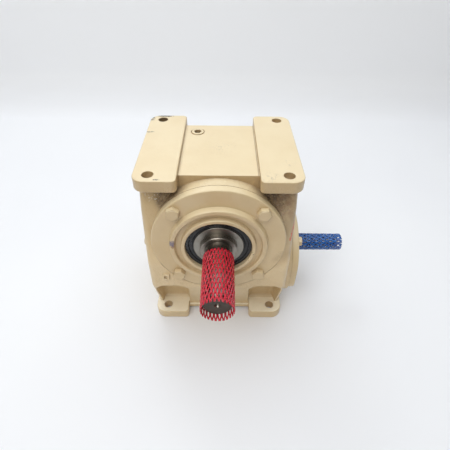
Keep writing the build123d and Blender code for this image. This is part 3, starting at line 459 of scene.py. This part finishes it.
def oily_rubber():
    """Black nitrile with a dusty bloom and wet patches of oil."""
    sh = Shader("seal_black")
    bloom = sh.ramp(sh.noise(140, 4, 0.6), 0.45, 0.75)
    tone = sh.mix(sh.times(bloom, 0.4), (0.013, 0.014, 0.016), (0.04, 0.04, 0.042))
    gloss = sh.ramp(sh.noise(60, 3), 0.35, 0.65, 0.24, 0.5)
    sh.bump([(sh.noise(900, 3), 0.15, 0.0002)], 0.0003)
    return sh.finish(Base_Color=tone, Roughness=gloss)


def gasket_paper():
    sh = Shader("gasket_paper")
    fibre = sh.noise(1200, 4, 0.7, sh.scaled((1, 0.3, 1)))
    tone = sh.mix(sh.ramp(fibre, 0.3, 0.7), (0.30, 0.22, 0.13), (0.16, 0.115, 0.07))
    sh.bump([(fibre, 0.3, 0.0002)])
    return sh.finish(Base_Color=tone, Roughness=0.75)


def net_plastic(name, colour, deep):
    """Extruded polyethylene net: slightly see-through strands with a waxy gloss."""
    sh = Shader(name)
    streak = sh.noise(350, 3)
    tone = sh.mix(sh.ramp(streak, 0.3, 0.7), colour, deep)
    dusty = sh.ramp(sh.noise(55, 4, 0.6), 0.5, 0.8)
    tone = sh.mix(sh.times(dusty, 0.12), tone, (0.75, 0.6, 0.6))
    gloss = sh.ramp(sh.noise(90, 2), 0.3, 0.7, 0.18, 0.3)
    sh.bump([(streak, 0.2, 0.0002)])
    sh.surface.subsurface_method = "BURLEY"
    return sh.finish(Base_Color=tone, Roughness=gloss, Subsurface_Weight=0.25,
                     Subsurface_Radius=(0.0012, 0.0004, 0.0004), Subsurface_Scale=1.0)


materials = {
    "case": housing_enamel(),
    "cover": cream_enamel("cover_enamel", 0.55, COVER_SPOTS, COVER_SHADOW_LINES, grime_and_shade_amount=0.45),
    "bolt": cream_enamel("bolt_enamel", 0.35, grime_and_shade_amount=0.5),
    "fill_plug": cream_enamel("fill_plug_enamel", 0.3, PLUG_SPOTS),
    "output_shaft": turned_steel("output_shaft_steel", 1, (0.33, 0.30, 0.265), dark_face=-0.1445),
    "worm_shaft": turned_steel("worm_shaft_steel", 0, (0.86, 0.86, 0.85), (0.25, 0.4), 0.12,
                               paint=(0.0946, 0.1005)),
    "collar": turned_steel("collar_steel", 1, (0.36, 0.34, 0.30), (0.28, 0.42), 0.3),
    "bearing": plain_metal("bearing_steel", (0.62, 0.61, 0.59), 0.16),
    "plain": plain_metal("plain_steel", (0.42, 0.40, 0.37), 0.34),
    "iron": plain_metal("grey_iron", (0.17, 0.165, 0.16), 0.5, 260, (0.1, 0.07, 0.05), 0.45),
    "bronze": plain_metal("hobbed_bronze", (0.60, 0.40, 0.17), 0.28, 240,
                          (0.25, 0.16, 0.07), 0.4),
    "rubber": oily_rubber(),
    "gasket": gasket_paper(),
    "red": net_plastic("red_polyethylene", (0.66, 0.020, 0.050), (0.42, 0.008, 0.022)),
    "blue": net_plastic("blue_polyethylene", (0.024, 0.13, 0.42), (0.012, 0.065, 0.27)),
}

MATERIAL_OF_NODE = {
    "housing": "case",
    "output_shaft": "output_shaft",
    "worm_shaft": "worm_shaft",
    "seal_collar": "collar",
    "gear_hub": "iron",
    "gear_rim": "bronze",
    "fill_plug": "fill_plug",
}
# the first word found in a node's name decides
MATERIAL_OF_WORD = [
    ("bolts", "bolt"),
    ("plug", "bolt"),
    ("gasket", "gasket"),
    ("cover", "cover"),
    ("spring", "plain"),
    ("seal", "rubber"),
    ("bearing", "bearing"),
]


def finish_for(name):
    """Which material a CAD node takes."""
    if name in MATERIAL_OF_NODE:
        return MATERIAL_OF_NODE[name]
    for word, material in MATERIAL_OF_WORD:
        if word in name:
            return material
    return "plain"


for name, node in nodes.items():
    for slot in node.material_slots:
        slot.material = materials[finish_for(name)]


# ---------------------------------------------------------------- meshes
def smooth_object(name, mesh):
    """Puts a finished bmesh into the scene, shaded smooth."""
    data = bpy.data.meshes.new(name)
    mesh.to_mesh(data)
    mesh.free()
    for face in data.polygons:
        face.use_smooth = True
    made = bpy.data.objects.new(name, data)
    scene.collection.objects.link(made)
    return made


# ---------------------------------------------------------------- protective nets
STRAND_SIDES = 8
RINGS_PER_CELL = 8
HOOP_RINGS = 96
SPACING_SLIP = 0.05  # unevenness of the strands' spacing, in pitches
OVAL, RIPPLE = 0.00022, 0.00012  # how far the tube is out of round
SWAY = 0.03  # how far it winds, in radians
PARTING = 0.22  # how far the two sets part between crossings, in thicknesses
SCOOP_SIDE = 2.2  # the angle at which the scoop is deepest
NUDGE = 0.01  # a short step along a strand, which gives its direction


def strand_ring(mesh, middle, across, spoke, width, thick):
    """One oval section of a strand."""
    ring = []
    for corner in range(STRAND_SIDES):
        turn = 2 * pi * corner / STRAND_SIDES
        offset = across * (cos(turn) * width / 2) + spoke * (sin(turn) * thick / 2)
        ring.append(mesh.verts.new(middle + offset))
    return ring


def join_rings(mesh, first, second):
    """A band of faces from one ring to the next."""
    for corner in range(STRAND_SIDES):
        after = (corner + 1) % STRAND_SIDES
        mesh.faces.new((first[corner], first[after], second[after], second[corner]))


def net_sleeve(name, origin, along, radius, start, end, around, cells, width, thick, seed,
               twist=0.0, scoop=0.0, end_hoop=0.0):
    """An open tubular net: two opposed sets of helical strands that swell where they cross.

    The twist, in strand pitches per cell, leans the whole net round its axis. The scoop cuts the
    start back on one side, and end_hoop is the width of a closed band at the end."""
    rng = Random(seed)
    out = Vector((0, 0, 1))
    side = along.cross(out)
    mesh = bmesh.new()
    pitch = (end - start) / cells
    steps = int(cells * RINGS_PER_CELL)
    phase = [rng.uniform(0, 2 * pi) for _ in range(4)]

    def point(angle, distance, lift):
        """A place on the dented, slightly wound tube, and the direction outwards there."""
        dent = OVAL * sin(2 * angle + phase[0] + 30 * distance)
        dent += RIPPLE * sin(5 * angle + phase[1])
        sway = SWAY * sin(90 * distance + phase[2])
        spoke = out * cos(angle + sway) + side * sin(angle + sway)
        return origin + along * distance + spoke * (radius + dent + lift), spoke

    for hand in (-1, 1):
        for index in range(around):
            slip = rng.uniform(-SPACING_SLIP, SPACING_SLIP)
            base = 2 * pi * (index + slip) / around
            rings = []
            for step in range(steps + 1):
                share = step / steps
                distance = start + (end - start) * share
                angle = base + (hand + twist) * 2 * pi / around * share * cells
                facing = 0.5 + 0.5 * cos(angle - SCOOP_SIDE)
                if distance < start + scoop * facing:
                    continue
                crossing = 0.5 + 0.5 * cos(2 * pi * 2 * share * cells)
                swollen = width * (0.82 + 0.5 * crossing ** 2)
                lift = hand * thick * PARTING * (1 - crossing)
                middle, spoke = point(angle, distance, lift)
                turned = angle + hand * NUDGE * 2 * pi / around
                ahead, _ = point(turned, distance + NUDGE * pitch, 0)
                run = (ahead - middle).normalized()
                across = run.cross(spoke).normalized()
                rings.append(strand_ring(mesh, middle, across, spoke, swollen, thick))
            for first, second in zip(rings, rings[1:]):
                join_rings(mesh, first, second)
            mesh.faces.new(rings[0][::-1])
            mesh.faces.new(rings[-1])
    if end_hoop:
        # heat-cut end, its strands run together
        rings = []
        for index in range(HOOP_RINGS):
            middle, spoke = point(2 * pi * index / HOOP_RINGS, end - end_hoop / 2, 0)
            rings.append(strand_ring(mesh, middle, along, spoke, end_hoop, thick))
        for index in range(HOOP_RINGS):
            join_rings(mesh, rings[index], rings[(index + 1) % HOOP_RINGS])
    bmesh.ops.recalc_face_normals(mesh, faces=mesh.faces)
    return smooth_object(name, mesh)


red_net = net_sleeve("red_net_sleeve", WHEEL_AXIS, Vector((0, -1, 0)), radius=0.0149,
                     start=0.0885, end=0.150, around=26, cells=5.5,
                     width=0.00165, thick=0.0008, seed=3, twist=0.2)
red_net.data.materials.append(materials["red"])
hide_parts("output_net")
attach(red_net, "output_sleeve")

blue_net = net_sleeve("blue_net_sleeve", WORM_AXIS, Vector((1, 0, 0)), radius=0.0102,
                      start=0.0957, end=0.1555, around=13, cells=6.5,
                      width=0.0027, thick=0.0008, seed=8, scoop=0.005, end_hoop=0.0012)
blue_net.data.materials.append(materials["blue"])
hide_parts("input_net")
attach(blue_net, "input_sleeve")


# ---------------------------------------------------------------- floor, backdrop and light
SWEEP_REACH = 3.0
WALL_FROM = 0.50
WALL_BEND = 0.09
WALL_TOP = 2.5
BEND_STEPS = 24
WORLD_COLOUR = (1.0, 0.93, 0.82, 1)
WORLD_STRENGTH = 0.13


def studio_sweep():
    """A pale floor that curves up behind into a wall."""
    profile = [(-SWEEP_REACH, 0.0), (WALL_FROM, 0.0)]
    for step in range(1, BEND_STEPS + 1):
        turn = pi / 2 * step / BEND_STEPS
        profile.append((WALL_FROM + WALL_BEND * sin(turn), WALL_BEND - WALL_BEND * cos(turn)))
    profile.append((WALL_FROM + WALL_BEND, WALL_TOP))
    mesh = bmesh.new()
    left = [mesh.verts.new((-SWEEP_REACH, y, z)) for y, z in profile]
    right = [mesh.verts.new((SWEEP_REACH, y, z)) for y, z in profile]
    for first in range(len(profile) - 1):
        mesh.faces.new((left[first], right[first], right[first + 1], left[first + 1]))
    sweep = smooth_object("sweep", mesh)
    sh = Shader("sweep_paper")
    tone = sh.mix(sh.ramp(sh.noise(3, 2), 0.3, 0.7), (0.875, 0.885, 0.91), (0.86, 0.87, 0.90))
    tone = sh.mix(sh.ramp(sh.axis(2), 0.01, 0.08), tone, (0.965, 0.975, 0.995))
    paper = sh.finish(Base_Color=tone, Roughness=0.9, Specular_IOR_Level=0.1)
    sweep.data.materials.append(paper)
    sweep.visible_shadow = False


def soft_box(name, place, aim, size, power, colour):
    """A rectangular area light, aimed at a point."""
    data = bpy.data.lights.new(name, "AREA")
    data.shape = "RECTANGLE"
    data.size, data.size_y = size
    data.energy = power
    data.color = colour
    light = bpy.data.objects.new(name, data)
    light.location = place
    light.rotation_euler = (Vector(aim) - Vector(place)).to_track_quat("-Z", "Y").to_euler()
    scene.collection.objects.link(light)


studio_sweep()
soft_box("overhead", (-0.15, -0.2, 1.6), aim=(-0.15, -0.2, 0),
         size=(2.2, 1.4), power=18, colour=(0.93, 0.97, 1.0))
soft_box("back", (-0.5, 1.15, 1.45), aim=(0, 0, 0.1),
         size=(0.5, 0.4), power=3.5, colour=(0.95, 0.98, 1.0))
soft_box("front", (-0.4, -1.15, 1.45), aim=(0, -0.1, 0.05),
         size=(1.2, 0.9), power=11, colour=(1.0, 0.98, 0.95))
scene.world = bpy.data.worlds.new("studio")
scene.world.use_nodes = True
background = scene.world.node_tree.nodes["Background"]
background.inputs["Color"].default_value = WORLD_COLOUR
background.inputs["Strength"].default_value = WORLD_STRENGTH
scene.view_settings.view_transform = "Standard"
